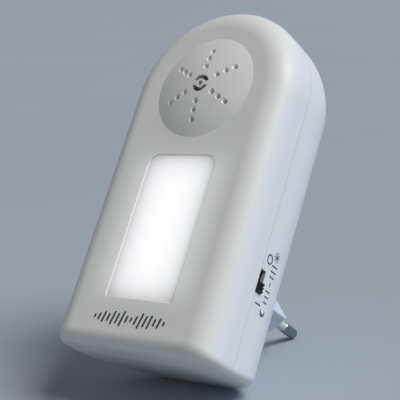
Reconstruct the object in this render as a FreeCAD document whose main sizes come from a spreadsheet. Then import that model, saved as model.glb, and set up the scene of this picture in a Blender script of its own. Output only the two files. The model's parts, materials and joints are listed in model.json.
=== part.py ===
"""Plug-in ultrasonic pest repeller with a night light.

Millimetres. +Z is up and the front looks along -Y, as the object stands in its wall socket.
The origin is midway between the two plug pins, on the face of the plug.
"""
import FreeCAD, Part
import os
import re
import math
import Sketcher
from FreeCAD import Placement, Rotation, Vector

doc = FreeCAD.newDocument("pest_repeller")
sheet = doc.addObject("Spreadsheet::Sheet", "sizes")

DIMENSIONS = {
    # housing
    "width": 68.0, "height": 130.3, "front_depth": 14.7, "rear_depth": 29.5, "wall": 2.0,
    "front_round": 9.0, "rear_round": 23.5, "front_draft": 1.1, "rear_draft": 1.3,
    "front_foot_lean": 1.1, "rear_foot_lean": 3.8,
    "corner_round": 2.6, "front_edge_round": 4.7, "rear_edge_round": 2.8, "window_edge_round": 0.35,
    "seam_gap": 0.12, "lip_inset": 1.0, "lip_length": 1.6, "lip_round": 0.3, "lip_draft": 0.2, "fit_gap": 0.1,
    # how far a cutting solid runs past the face that it opens
    "past": 1.0,
    # plug
    "plug_height": 34.7, "boss_depth": 18.2, "boss_width": 35.3, "boss_height": 13.7, "boss_wall": 2.2,
    "boss_face": 3.0, "boss_edge_round": 0.8, "boss_seat_width": 29.0, "boss_seat_height": 19.5,
    "boss_seat_gap": 0.7, "boss_seat_thick": 1.5, "boss_clearance": 0.06, "pin_spacing": 19.0,
    "pin_length": 19.0, "pin_radius": 2.0, "core_radius": 1.5, "core_stub": 4.0, "sleeve_radius": 1.82,
    "sleeve_length": 10.2, "collar_radius": 3.2, "collar_length": 1.5, "pin_tip_round": 0.9,
    "pin_shoulder": 0.35, "tab_thick": 0.6, "tab_half": 1.25, "tab_low": 2.3, "tab_high": 2.8,
    # window and night light
    "window_half": 14.15, "window_low": 17.0, "window_high": 69.85, "window_round": 4.0,
    "window_sink": 0.5, "flange_rim": 2.4, "flange_thick": 1.2, "light_depth": 9.6, "light_wall": 1.0,
    "board_thick": 1.6, "lamp_radius": 2.4, "lamp_length": 3.6, "lamp_pitch": 11.0, "lamp_foot_rim": 0.4,
    "lamp_foot_thick": 0.9,
    # grille
    "dome_rim": 19.55, "dome_rise": 3.3, "dome_wall": 1.7, "dome_root": 1.2, "hole_radius": 0.84,
    "hole_flare": 0.3, "grille_reach": 5.0, "inner_ring": 6.85, "middle_ring": 10.3, "outer_ring": 13.7,
    "hub_hole": 0.95, "hub_ring": 1.75, "hub_slot": 3.3, "hub_bridge": 0.75,
    # switch
    "notch_low": 28.4, "notch_height": 8.1, "notch_depth": 3.2, "notch_wall": 1.55,
    "notch_pocket": 3.4, "lip_gap_margin": 0.5, "knob_height": 3.6, "knob_gap": 0.2, "knob_proud": 1.0,
    "tooth_depth": 0.55, "tooth_slope": 0.32,
    "knob_inset": 0.25, "knob_lift": 0.15, "frame_drop": 2.6, "frame_thick": 0.5, "frame_reach": 4.0,
    "frame_border": 2.6, "stem_thick": 1.3, "stem_height": 2.6, "stem_play": 0.15, "stem_reach": 2.6,
    "base_length": 6.5, "base_inset": 0.5, "base_border": 1.2, "base_room": 3.2, "base_room_play": 0.6,
    "switch_pin_length": 2.5, "switch_pin_half": 0.6, "switch_pin_thin": 0.25,
    # screws
    "post_radius": 3.4, "screw_radius": 1.4, "screw_head": 2.7, "screw_length": 10.5,
    "screw_head_depth": 2.0, "screw_slot_reach": 1.5, "screw_slot_half": 0.35, "pilot_depth": 8.0,
    "well_gap": 0.3, "post_floor": 3.0, "low_post_side": 26.4, "low_post_height": 9.0,
    "high_post_ring": 26.6, "high_post_angle": 48.0, "small_screw": 0.95, "small_head": 1.8,
    "small_head_depth": 1.2, "small_length": 6.0, "small_slot_half": 0.2,
    # main board
    "board_half": 21.5, "board_low": 15.0, "board_high": 74.0, "board_stand": 15.0,
    "board_post_side": 17.5, "board_post_inset": 4.5, "board_post_radius": 2.6,
    # transducer
    "can_radius": 17.9, "can_wall": 1.2, "can_depth": 10.5, "ring_outer": 23.0, "ring_thick": 1.6,
    "ring_post_ring": 20.6, "ring_post_radius": 1.9, "ring_rim": 2.4, "cone_mouth": 15.6,
    "cone_throat": 3.2, "cone_skin": 0.4, "cone_gap": 0.8, "metal_disc": 13.5, "ceramic_disc": 10.0,
    "disc_thick": 0.3, "seat_height": 2.0, "seat_outside": 1.2, "seat_inside": 1.5, "terminal_side": 4.0,
    "terminal_radius": 0.5, "terminal_gap": 0.05, "terminal_length": 5.0, "terminal_inside": 1.4,
}
ALIAS = re.compile(r"\b(" + "|".join(DIMENSIONS) + r")\b")

# Places that many pieces share, worked out from the driving dimensions.
BACK = "(-boss_depth)"
SEAM = "(-boss_depth - rear_depth)"
FRONT = "(-boss_depth - rear_depth - front_depth)"
BASE = "(-plug_height)"
ARCH = "(height - plug_height - width / 2)"
BOARD_BACK = "(-boss_depth - board_stand)"
BOARD_FRONT = "(-boss_depth - board_stand - board_thick)"
FLANGE_BACK = "(-boss_depth - rear_depth - front_depth + wall + flange_thick)"
LAMP_BOARD = "(-boss_depth - rear_depth - front_depth + wall + flange_thick + light_depth)"
CAN_FRONT = "(-boss_depth - rear_depth - front_depth + wall + fit_gap)"
AXES = {"X": Rotation(Vector(0, 0, 1), Vector(1, 0, 0)), "Y": Rotation(Vector(0, 0, 1), Vector(0, 1, 0)),
        "-Y": Rotation(Vector(0, 0, 1), Vector(0, -1, 0)), "Z": Rotation()}

nodes = []


def fill_sheet():
    for row, (alias, value) in enumerate(DIMENSIONS.items(), start=1):
        sheet.set(f"A{row}", alias)
        sheet.set(f"B{row}", str(value))
        sheet.setAlias(f"B{row}", alias)
    doc.recompute()


def size(alias):
    return float(sheet.get(alias))


def bound(expression):
    """The expression with every alias read from the sheet."""
    return ALIAS.sub(r"sizes.\1", str(expression))


def number(expression):
    """What the expression comes to with the sheet's present values."""
    return float(sheet.evalExpression(bound(expression)))


def bind(item, name, expression):
    item.setExpression(name, bound(expression))


def place(item, x, y, z):
    bind(item, "Placement.Base.x", x)
    bind(item, "Placement.Base.y", y)
    bind(item, "Placement.Base.z", z)
    return item


def node(item, label):
    """Keep the item as one sub-part, written to its own file."""
    item.Label = label
    nodes.append(item)
    return item


# Solids bound to the sheet

def block(name, x, y, z):
    """A box between two places on each axis."""
    item = doc.addObject("Part::Box", name)
    for side, (low, high) in zip(("Length", "Width", "Height"), (x, y, z)):
        bind(item, side, f"({high}) - ({low})")
    return place(item, x[0], y[0], z[0])


def rod(name, radius, axis, start, length):
    item = doc.addObject("Part::Cylinder", name)
    bind(item, "Radius", radius)
    bind(item, "Height", length)
    item.Placement = Placement(Vector(), AXES[axis])
    return place(item, *start)


def taper(name, first, last, axis, start, length):
    item = doc.addObject("Part::Cone", name)
    bind(item, "Radius1", first)
    bind(item, "Radius2", last)
    bind(item, "Height", length)
    item.Placement = Placement(Vector(), AXES[axis])
    return place(item, *start)


def ball(name, radius, centre):
    item = doc.addObject("Part::Sphere", name)
    bind(item, "Radius", radius)
    return place(item, *centre)


def fuse(name, items):
    item = doc.addObject("Part::MultiFuse", name)
    item.Shapes = items
    return item


def common(name, items):
    item = doc.addObject("Part::MultiCommon", name)
    item.Shapes = items
    return item


def group(name, items):
    item = doc.addObject("Part::Compound", name)
    item.Links = items
    return item


def cut(name, base, tools):
    item = doc.addObject("Part::Cut", name)
    item.Base = base
    item.Tool = tools[0] if len(tools) == 1 else fuse(name + "_tools", tools)
    return item


def tube(name, outer, inner, axis, start, length):
    return cut(name, rod(name + "_outside", outer, axis, start, length),
               [rod(name + "_inside", inner, axis, start, length)])


# The arch-topped housing

def origin_plane(body, role):
    return next(item for item in body.Origin.OriginFeatures if item.Role == role)


def half_section(sketch, flat, opening, half, radius, draft):
    """Half of a level slice: flat face, round edge, drafted side, open face, centre line."""
    values = {name: number(text)
              for name, text in (("flat", flat), ("open", opening), ("half", half), ("radius", radius))}
    lean = math.radians(number(draft))
    sign = 1 if values["flat"] > values["open"] else -1
    reach = values["open"] - values["flat"] + sign * values["radius"]
    centre_x = (values["half"] * math.cos(lean) + sign * math.sin(lean) * reach
                - values["radius"]) / math.cos(lean)
    centre = Vector(centre_x, values["flat"] - sign * values["radius"], 0)
    touch = centre + Vector(math.cos(lean), sign * math.sin(lean), 0) * values["radius"]
    flat_end = Vector(centre_x, values["flat"], 0)
    flat_axis = Vector(0, values["flat"], 0)
    open_end = Vector(values["half"], values["open"], 0)
    open_axis = Vector(0, values["open"], 0)
    circle = Part.Circle(centre, Vector(0, 0, 1), values["radius"])
    angles = (lean, math.pi / 2) if sign > 0 else (-math.pi / 2, -lean)
    sketch.addGeometry([Part.LineSegment(flat_axis, flat_end), Part.ArcOfCircle(circle, *angles),
                        Part.LineSegment(touch, open_end), Part.LineSegment(open_end, open_axis),
                        Part.LineSegment(open_axis, flat_axis)], False)
    side_point, flat_point = (1, 2) if sign > 0 else (2, 1)
    sketch.addConstraint([
        Sketcher.Constraint("Coincident", 2, 2, 3, 1), Sketcher.Constraint("Coincident", 3, 2, 4, 1),
        Sketcher.Constraint("Coincident", 4, 2, 0, 1), Sketcher.Constraint("Tangent", 0, 2, 1, flat_point),
        Sketcher.Constraint("Tangent", 2, 1, 1, side_point), Sketcher.Constraint("Horizontal", 0),
        Sketcher.Constraint("Horizontal", 3), Sketcher.Constraint("Vertical", 4),
        Sketcher.Constraint("PointOnObject", 4, 1, -2)])
    driving = [
        ("flat", Sketcher.Constraint("DistanceY", -1, 1, 0, 1, values["flat"]), flat),
        ("opening", Sketcher.Constraint("DistanceY", -1, 1, 3, 1, values["open"]), opening),
        ("half", Sketcher.Constraint("DistanceX", -1, 1, 3, 1, values["half"]), half),
        ("radius", Sketcher.Constraint("Radius", 1, values["radius"]), radius),
        ("lean", Sketcher.Constraint("Angle", 2, -sign * (math.pi / 2 - lean)),
         f"{-sign} * (90 - ({draft})) * 1 deg")]
    for name, constraint, expression in driving:
        index = sketch.addConstraint(constraint)
        sketch.renameConstraint(index, name)
        bind(sketch, f"Constraints.{name}", expression)


def prism(name, role, corners, start, length):
    """A polygon in an origin plane, each corner bound to the sheet, drawn out square to that plane."""
    body = doc.addObject("PartDesign::Body", name)
    sketch = body.newObject("Sketcher::SketchObject", name + "_outline")
    sketch.AttachmentSupport = [(origin_plane(body, role), "")]
    sketch.MapMode = "FlatFace"
    bind(sketch, "AttachmentOffset.Base.z", start)
    points = [Vector(number(x), number(y), 0) for x, y in corners]
    count = len(points)
    sketch.addGeometry([Part.LineSegment(points[i], points[(i + 1) % count]) for i in range(count)], False)
    for index, (x, y) in enumerate(corners):
        sketch.addConstraint(Sketcher.Constraint("Coincident", index, 2, (index + 1) % count, 1))
        across = sketch.addConstraint(Sketcher.Constraint("DistanceX", -1, 1, index, 1, points[index].x))
        upward = sketch.addConstraint(Sketcher.Constraint("DistanceY", -1, 1, index, 1, points[index].y))
        bind(sketch, f"Constraints[{across}]", x)
        bind(sketch, f"Constraints[{upward}]", y)
    pad = body.newObject("PartDesign::Pad", name + "_pad")
    pad.Profile = sketch
    bind(pad, "Length", length)
    doc.recompute()
    return body


def arch(name, flat, opening, half, radius, draft, base, lean="0"):
    """The section turned about the centre of the arch and drawn straight down to the base.

    The foot climbs by the lean, in degrees, from the open face towards the flat one.
    """
    body = doc.addObject("PartDesign::Body", name)
    sketch = body.newObject("Sketcher::SketchObject", name + "_section")
    sketch.AttachmentSupport = [(origin_plane(body, "XY_Plane"), "")]
    sketch.MapMode = "FlatFace"
    bind(sketch, "AttachmentOffset.Base.z", ARCH)
    half_section(sketch, flat, opening, half, radius, draft)
    turned = body.newObject("PartDesign::Revolution", name + "_top")
    turned.Profile = sketch
    turned.ReferenceAxis = (sketch, ["V_Axis"])
    turned.Angle = 360
    drawn = body.newObject("PartDesign::Pad", name + "_side")
    drawn.Profile = sketch
    drawn.Reversed = True
    bind(drawn, "Length", f"{ARCH} - ({base})")
    doc.recompute()
    both = body.newObject("PartDesign::Mirrored", name + "_both")
    both.Originals = [drawn]
    both.MirrorPlane = (origin_plane(body, "YZ_Plane"), [""])
    body.Tip = both
    doc.recompute()
    if lean == "0":
        return body
    wedge = prism(name + "_foot", "YZ_Plane", [
        (opening, base), (opening, f"({base}) - 1"), (flat, f"({base}) - 1"),
        (flat, f"({base}) + tan({lean} * 1 deg) * abs(({flat}) - ({opening}))")], "-width", "2 * width")
    return cut(name + "_leaned", body, [wedge])


def foot_rounded(name, base_item, flat_radius, open_place, lean):
    """Round the foot: the corner radius beside the seam runs into another under the flat face."""
    doc.recompute()
    item = doc.addObject("Part::Fillet", name)
    item.Base = base_item
    slope = math.tan(math.radians(size(lean)))
    edges = []
    for index, edge in enumerate(base_item.Shape.Edges, start=1):
        ends = [edge.valueAt(edge.FirstParameter), edge.valueAt(edge.LastParameter)]
        heights = [end.z + size("plug_height") - slope * abs(end.y - open_place) for end in ends]
        off_foot = any(abs(height) > 1e-3 for height in heights)
        at_mouth = all(abs(end.y - open_place) < 1e-4 for end in ends)
        if off_foot or at_mouth:
            continue
        if edge.Curve.TypeId == "Part::GeomLine":
            radius = flat_radius if abs(ends[0].y - ends[1].y) < 1e-4 else size("corner_round")
            edges.append((index, radius, radius))
            continue
        pair = [size("corner_round"), flat_radius]
        if abs(ends[0].x) < abs(ends[1].x):
            pair.reverse()
        edges.append((index, *pair))
    item.Edges = edges
    return item


# Places of repeated things

def case_post_places():
    """Four screw posts: two low at the sides and two high on the arch."""
    high_x = "high_post_ring * cos(high_post_angle * 1 deg)"
    high_z = f"({ARCH} + high_post_ring * sin(high_post_angle * 1 deg))"
    low_z = f"({BASE} + low_post_height)"
    return [("low_left", "-low_post_side", low_z), ("low_right", "low_post_side", low_z),
            ("high_left", f"-({high_x})", high_z), ("high_right", high_x, high_z)]


def board_post_places():
    low = f"({BASE} + board_low + board_post_inset)"
    high = f"({BASE} + board_high - board_post_inset)"
    return [("low_left", "-board_post_side", low), ("low_right", "board_post_side", low),
            ("high_left", "-board_post_side", high), ("high_right", "board_post_side", high)]


def ring_post_places():
    return [(f"at_{angle}", f"ring_post_ring * cos({angle} deg)",
             f"({ARCH} + ring_post_ring * sin({angle} deg))") for angle in (0, 120, 240)]


def window_prism(name, inset, y_low, y_high):
    """The window's outline, round at its two upper corners and square at its two lower ones."""
    half = f"(window_half - ({inset}))"
    low = f"({BASE} + window_low + ({inset}))"
    high = f"({BASE} + window_high - ({inset}))"
    bend = f"(window_round - ({inset}))"
    depth = f"({y_high}) - ({y_low})"
    return fuse(name, [
        block(name + "_lower", (f"-1 * {half}", half), (y_low, y_high), (low, f"{high} - {bend}")),
        block(name + "_upper", (f"-{half} + {bend}", f"{half} - {bend}"), (y_low, y_high),
              (f"{high} - {bend}", high)),
        rod(name + "_corner_left", bend, "Y", (f"-{half} + {bend}", y_low, f"{high} - {bend}"), depth),
        rod(name + "_corner_right", bend, "Y", (f"{half} - {bend}", y_low, f"{high} - {bend}"), depth)])


# Housing

def grille_tools():
    """Three holes on each of six spokes, each flared at the outside, and the pierced hub."""
    sphere = "((dome_rim ^ 2 + dome_rise ^ 2) / (2 * dome_rise))"
    tools = []
    for spoke in range(6):
        angle = 90 + 60 * spoke
        for ring in ("inner_ring", "middle_ring", "outer_ring"):
            name = f"hole_{spoke}_{ring}"
            x = f"{ring} * cos({angle} deg)"
            z = f"({ARCH} + {ring} * sin({angle} deg))"
            skin = f"({FRONT} - dome_rise + {sphere} - sqrt({sphere} ^ 2 - {ring} ^ 2))"
            tools.append(rod(name, "hole_radius", "Y", (x, f"{FRONT} - grille_reach", z), "2 * grille_reach"))
            tools.append(taper(name + "_flare", "hole_radius + 2 * hole_flare", "hole_radius", "Y",
                               (x, f"{skin} - hole_flare", z), "2 * hole_flare"))
    start = (0, f"{FRONT} - grille_reach", ARCH)
    hub = tube("hub_slots_ring", "hub_slot", "hub_ring", "Y", start, "2 * grille_reach")
    bridge = block("hub_bridge_bar", ("-hub_slot - past", "hub_slot + past"),
                   (f"{FRONT} - grille_reach - past", f"{FRONT} + grille_reach + past"),
                   (f"{ARCH} - hub_bridge", f"{ARCH} + hub_bridge"))
    tools.append(cut("hub_slots", hub, [bridge]))
    tools.append(rod("hub_centre", "hub_hole", "Y", start, "2 * grille_reach"))
    return tools


def dome(name, rim, shrink, back):
    """A spherical cap standing out of the front face; shrink moves its skin inward."""
    sphere = "((dome_rim ^ 2 + dome_rise ^ 2) / (2 * dome_rise))"
    centre = f"({FRONT} - dome_rise + {sphere})"
    return common(name, [ball(name + "_ball", f"{sphere} - {shrink}", (0, centre, ARCH)),
                         rod(name + "_disc", rim, "Y", (0, f"{FRONT} - grille_reach", ARCH),
                             f"grille_reach + {back}")])


def front_shell():
    skin = arch("front_skin", FRONT, SEAM, "width / 2", "front_round", "front_draft", BASE, "front_foot_lean")
    skin = foot_rounded("front_skin_round", skin, size("front_edge_round"), number(SEAM), "front_foot_lean")
    room = arch("front_room", f"{FRONT} + wall", SEAM, "width / 2 - wall",
                "front_round - wall", "front_draft", f"{BASE} + wall", "front_foot_lean")
    lip = arch("front_lip", f"{SEAM} + lip_length", SEAM, "width / 2 - lip_inset - fit_gap",
               "lip_round", "lip_draft", f"{BASE} + lip_inset + fit_gap")
    lip_room = arch("front_lip_room", f"{SEAM} + lip_length + past", f"{SEAM} - 0.01", "width / 2 - wall",
                    "lip_round", "lip_draft", f"{BASE} + wall")
    hollow = cut("front_hollow", fuse("front_solid", [skin, dome("dome_skin", "dome_rim", 0, "wall")]),
                 [room, dome("dome_room", "dome_rim - dome_root", "dome_wall", "wall + past / 2")])
    rim = cut("front_rim", lip, [lip_room])
    posts = [rod(f"front_post_{place_name}", "post_radius", "Y", (x, f"{FRONT} + wall / 2", z),
                 "front_depth - wall / 2") for place_name, x, z in case_post_places()]
    ring_posts = [rod(f"ring_post_{place_name}", "ring_post_radius", "Y", (x, f"{FRONT} + wall / 2", z),
                      "wall / 2 + can_depth") for place_name, x, z in ring_post_places()]
    pilots = [rod(f"front_pilot_{place_name}", "screw_radius", "Y", (x, f"{SEAM} - pilot_depth", z),
                  "pilot_depth + past") for place_name, x, z in case_post_places()]
    ring_pilots = [rod(f"ring_pilot_{place_name}", "small_screw", "Y",
                       (x, f"{CAN_FRONT} + can_depth - small_length", z), "small_length + past")
                   for place_name, x, z in ring_post_places()]
    inner = common("front_posts", [fuse("front_post_rods", posts + ring_posts),
                                   arch("front_post_limit", f"{FRONT} + wall / 2", f"{SEAM} + past",
                                        "width / 2 - wall / 2", "front_round - wall / 2", "front_draft",
                                        f"{BASE} + wall / 2", "front_foot_lean")])
    whole = fuse("front_whole", [hollow, rim, inner])
    window = window_prism("window_hole", 0, f"{FRONT} - past", f"{FRONT} + wall + past")
    lip_gap = block("switch_lip_gap", ("width / 2 - wall - past", "width / 2"),
                    (SEAM, f"{SEAM} + lip_length + past"),
                    (f"{BASE} + notch_low - lip_gap_margin",
                     f"{BASE} + notch_low + notch_height + lip_gap_margin"))
    tools = [window, lip_gap] + pilots + ring_pilots + grille_tools()
    return node(window_softened(cut("front_cut", whole, tools)), "front_shell")


def window_softened(shell):
    """Round the window's edge on the front face."""
    doc.recompute()
    front = number(FRONT)
    reach = size("window_half") + 0.01
    low = size("window_low") - size("plug_height") - 0.01
    high = size("window_high") - size("plug_height") + 0.01
    edges = []
    for index, edge in enumerate(shell.Shape.Edges, start=1):
        points = [vertex.Point for vertex in edge.Vertexes]
        if all(abs(p.y - front) < 1e-4 and abs(p.x) < reach and low < p.z < high for p in points):
            edges.append((index, size("window_edge_round"), size("window_edge_round")))
    item = doc.addObject("Part::Fillet", "front_window_round")
    item.Base = shell
    item.Edges = edges
    return item


def boss_prism(name, inset, y_low, y_high):
    """The plug's outline: flat above and below, and both ends pointed at a right angle."""
    tall = f"(boss_height / 2 - ({inset}))"
    wide = f"(boss_width / 2 - ({inset}) * sqrt(2))"
    shoulder = f"({wide} - {tall})"
    corners = [(shoulder, tall), (wide, "0"), (shoulder, f"-1 * {tall}"),
               (f"-1 * {shoulder}", f"-1 * {tall}"), (f"-1 * {wide}", "0"), (f"-1 * {shoulder}", tall)]
    return prism(name, "XZ_Plane", corners, f"-({y_high})", f"({y_high}) - ({y_low})")


def plug_block():
    """The plug's insulating block: it stands out through the back and its seat holds it inside."""
    seat_back = f"{BACK} - wall - boss_seat_gap"
    seat_front = f"{seat_back} - boss_seat_thick"
    skin = boss_prism("plug_skin", "0", seat_front, "0")
    skin.Tip = boss_edges(skin)
    seat = block("plug_seat", ("-boss_seat_width / 2", "boss_seat_width / 2"), (seat_front, seat_back),
                 ("-boss_seat_height / 2", "boss_seat_height / 2"))
    room = boss_prism("plug_room", "boss_wall", f"{seat_front} - past", "-boss_face")
    pin_holes = [rod(f"pin_hole_{side}", "sleeve_radius", "Y",
                     (f"{sign} * pin_spacing / 2", "-boss_face - past", 0), "boss_face + 2 * past")
                 for side, sign in (("left", -1), ("right", 1))]
    return node(cut("plug_cut", fuse("plug_whole", [skin, seat]), [room] + pin_holes), "plug_block")


def rear_shell():
    mouth = f"{SEAM} + seam_gap"
    skin = arch("rear_skin", BACK, mouth, "width / 2", "rear_round", "rear_draft", BASE, "rear_foot_lean")
    skin = foot_rounded("rear_skin_round", skin, size("rear_edge_round"), number(mouth), "rear_foot_lean")
    room = arch("rear_room", f"{BACK} - wall", f"{mouth} - 0.01", "width / 2 - wall",
                "rear_round - wall", "rear_draft", f"{BASE} + wall", "rear_foot_lean")
    rebate = arch("rear_rebate", f"{SEAM} + lip_length + fit_gap", f"{mouth} - 0.01",
                  "width / 2 - lip_inset", "lip_round", "lip_draft", f"{BASE} + lip_inset")
    shell = cut("rear_hollow", skin, [room, rebate])
    posts = [rod(f"rear_post_{name}", "post_radius", "Y", (x, mouth, z), "rear_depth - seam_gap")
             for name, x, z in case_post_places()]
    stands = [rod(f"board_post_{name}", "board_post_radius", "Y", (x, BOARD_BACK, z), "board_stand")
              for name, x, z in board_post_places()]
    limit = arch("rear_post_limit", BACK, SEAM, "width / 2 - wall / 2", "rear_round", "rear_draft",
                 f"{BASE} + wall / 2", "rear_foot_lean")
    inner = common("rear_posts", [fuse("rear_post_rods", posts + stands), limit])
    bores = [rod(f"rear_bore_{name}", "screw_radius + fit_gap", "Y", (x, f"{SEAM} - past", z),
                 "post_floor + 2 * past") for name, x, z in case_post_places()]
    wells = [rod(f"rear_well_{name}", "screw_head + well_gap", "Y", (x, f"{SEAM} + post_floor", z),
                 "rear_depth") for name, x, z in case_post_places()]
    pilots = [rod(f"board_pilot_{name}", "small_screw", "Y", (x, f"{BOARD_BACK} - past", z),
                  "small_length + past") for name, x, z in board_post_places()]
    notch = block("switch_notch", ("width / 2 - wall - past", "width / 2 + past"),
                  (f"{SEAM} - past", f"{SEAM} + notch_depth"),
                  (f"{BASE} + notch_low", f"{BASE} + notch_low + notch_height"))
    thinned = block("switch_pocket", ("width / 2 - wall - past", "width / 2 - notch_wall"),
                    (f"{SEAM} - past", f"{SEAM} + notch_depth + notch_pocket"),
                    (f"{BASE} + notch_low - notch_pocket",
                     f"{BASE} + notch_low + notch_height + notch_pocket"))
    opening = boss_prism("plug_opening", "-boss_clearance",
                         f"{BACK} - wall - boss_seat_gap - boss_seat_thick - past", f"{BACK} + past")
    tools = [notch, thinned, opening] + bores + wells + pilots
    return node(cut("rear_cut", fuse("rear_whole", [shell, inner]), tools), "rear_shell")


def boss_edges(body):
    """Soften the boss's long edges and the rim of its face."""
    pad = body.Tip
    names = []
    for index, edge in enumerate(pad.Shape.Edges, start=1):
        ends = [vertex.Point for vertex in edge.Vertexes]
        buried = all(end.y < -size("boss_depth") for end in ends)
        if not buried:
            names.append(f"Edge{index}")
    soft = body.newObject("PartDesign::Fillet", "boss_soft_edges")
    soft.Base = (pad, names)
    bind(soft, "Radius", "boss_edge_round")
    doc.recompute()
    return soft


# Plug pins

def plug_pin(side, sign):
    x = f"{sign} * pin_spacing / 2"
    name = f"plug_pin_{side}"
    core = rod(name + "_core", "core_radius", "Y", (x, "-boss_face - collar_length - core_stub", 0),
               "boss_face + collar_length + core_stub + sleeve_length + past")
    collar = rod(name + "_collar", "collar_radius", "Y", (x, "-boss_face - collar_length", 0),
                 "collar_length")
    shoulder = taper(name + "_shoulder", "pin_radius - pin_shoulder", "pin_radius", "Y",
                     (x, "sleeve_length", 0), "pin_shoulder")
    tip = rod(name + "_tip", "pin_radius", "Y", (x, "sleeve_length + pin_shoulder", 0),
              "pin_length - sleeve_length - pin_shoulder")
    doc.recompute()
    rounded = doc.addObject("Part::Fillet", name + "_tip_round")
    rounded.Base = tip
    rounded.Edges = [(index, size("pin_tip_round"), size("pin_tip_round"))
                     for index, edge in enumerate(tip.Shape.Edges, start=1)
                     if all(abs(vertex.Y - size("pin_length")) < 1e-4 for vertex in edge.Vertexes)]
    return node(fuse(name + "_fuse", [core, collar, shoulder, rounded]), name)


def pin_sleeve(side, sign):
    x = f"{sign} * pin_spacing / 2"
    return node(tube(f"pin_sleeve_{side}_tube", "sleeve_radius", "core_radius", "Y", (x, "-boss_face", 0),
                     "boss_face + sleeve_length"), f"pin_sleeve_{side}")


def pin_tab(side, sign):
    """The brass strip from the pin's inner end to the board."""
    x = f"{sign} * pin_spacing / 2"
    washer = tube(f"pin_tab_{side}_eye", "collar_radius", "core_radius", "Y",
                  (x, "-boss_face - collar_length - tab_thick", 0), "tab_thick")
    strip = block(f"pin_tab_{side}_strip", (f"{x} - tab_half", f"{x} + tab_half"),
                  (f"{BOARD_FRONT} - tab_thick", "-boss_face - collar_length"), ("tab_low", "tab_high"))
    return node(fuse(f"pin_tab_{side}_fuse", [washer, strip]), f"pin_tab_{side}")


# Night light

def light_diffuser():
    pane = window_prism("pane", "fit_gap", f"{FRONT} + window_sink", f"{FRONT} + wall")
    flange = window_prism("pane_flange", "-flange_rim", f"{FRONT} + wall", FLANGE_BACK)
    return node(fuse("light_diffuser_fuse", [pane, flange]), "light_diffuser")


def light_box():
    outer = window_prism("light_box_outer", "-flange_rim", FLANGE_BACK, LAMP_BOARD)
    inner = window_prism("light_box_inner", "-flange_rim + light_wall", f"{FLANGE_BACK} - past",
                         f"{LAMP_BOARD} + past")
    return node(cut("light_box_cut", outer, [inner]), "light_box")


def lamp_board():
    return node(window_prism("lamp_board_prism", "-flange_rim", LAMP_BOARD, f"{LAMP_BOARD} + board_thick"),
                "lamp_board")


def lamp_places():
    centre = f"({BASE} + (window_low + window_high) / 2)"
    return [f"({centre} + {step} * lamp_pitch)" for step in (-1.5, -0.5, 0.5, 1.5)]


def night_lamps():
    """Four domed light-emitting diodes in a column."""
    lamps = []
    for index, z in enumerate(lamp_places()):
        name = f"lamp_{index}"
        lamps.append(fuse(name, [
            rod(name + "_foot", "lamp_radius + lamp_foot_rim", "-Y", (0, LAMP_BOARD, z), "lamp_foot_thick"),
            rod(name + "_barrel", "lamp_radius", "-Y", (0, LAMP_BOARD, z), "lamp_length"),
            ball(name + "_dome", "lamp_radius", (0, f"{LAMP_BOARD} - lamp_length", z))]))
    return node(group("night_lamps_group", lamps), "night_lamps")


# Transducer behind the grille

def transducer():
    back = f"({CAN_FRONT} + can_depth)"
    floor = f"({back} - can_wall)"
    disc_back = f"({floor} - seat_height)"
    outer = rod("can_outer", "can_radius", "Y", (0, CAN_FRONT, ARCH), "can_depth")
    inner = rod("can_inner", "can_radius - can_wall", "Y", (0, f"{CAN_FRONT} - past", ARCH),
                "can_depth + past - can_wall")
    holes = [rod(f"can_pin_hole_{side}", "terminal_radius + terminal_gap", "Y",
                 (f"{sign} * terminal_side", f"{floor} - past", ARCH), "can_wall + 2 * past")
             for side, sign in (("left", -1), ("right", 1))]
    node(cut("can_cut", outer, [inner] + holes), "transducer_can")
    seat = tube("disc_seat", "metal_disc + seat_outside", "metal_disc - seat_inside", "Y",
                (0, disc_back, ARCH), "seat_height")
    node(seat, "transducer_seat")
    node(rod("metal_disc_rod", "metal_disc", "Y", (0, f"{disc_back} - disc_thick", ARCH), "disc_thick"),
         "transducer_disc")
    node(rod("ceramic_rod", "ceramic_disc", "Y", (0, disc_back, ARCH), "disc_thick"), "transducer_ceramic")
    mouth = (0, f"{CAN_FRONT} + cone_gap", ARCH)
    depth = "(can_depth - can_wall - seat_height - disc_thick - cone_gap)"
    horn = cut("horn_cut", taper("horn_outer", "cone_mouth + cone_skin", "cone_throat + cone_skin", "Y",
                                 mouth, depth),
               [taper("horn_inner", "cone_mouth", "cone_throat", "Y", mouth, depth)])
    node(horn, "transducer_cone")
    ring = tube("ring_tube", "ring_outer", "can_radius - ring_rim", "Y", (0, back, ARCH), "ring_thick")
    ring_holes = [rod(f"ring_hole_{name}", "small_screw + fit_gap", "Y", (x, f"{back} - past", z),
                      "ring_thick + 2 * past") for name, x, z in ring_post_places()]
    node(cut("ring_cut", ring, ring_holes), "transducer_ring")
    node(group("ring_screws_group", [small_screw(f"ring_screw_{name}", x, f"{back} + ring_thick", z)
                                     for name, x, z in ring_post_places()]), "transducer_screws")
    pins = [rod(f"can_pin_{side}", "terminal_radius", "Y",
                (f"{sign} * terminal_side", f"{floor} - terminal_inside", ARCH), "terminal_length")
            for side, sign in (("left", -1), ("right", 1))]
    node(group("transducer_terminals_group", pins), "transducer_terminals")


# Screws

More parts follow.
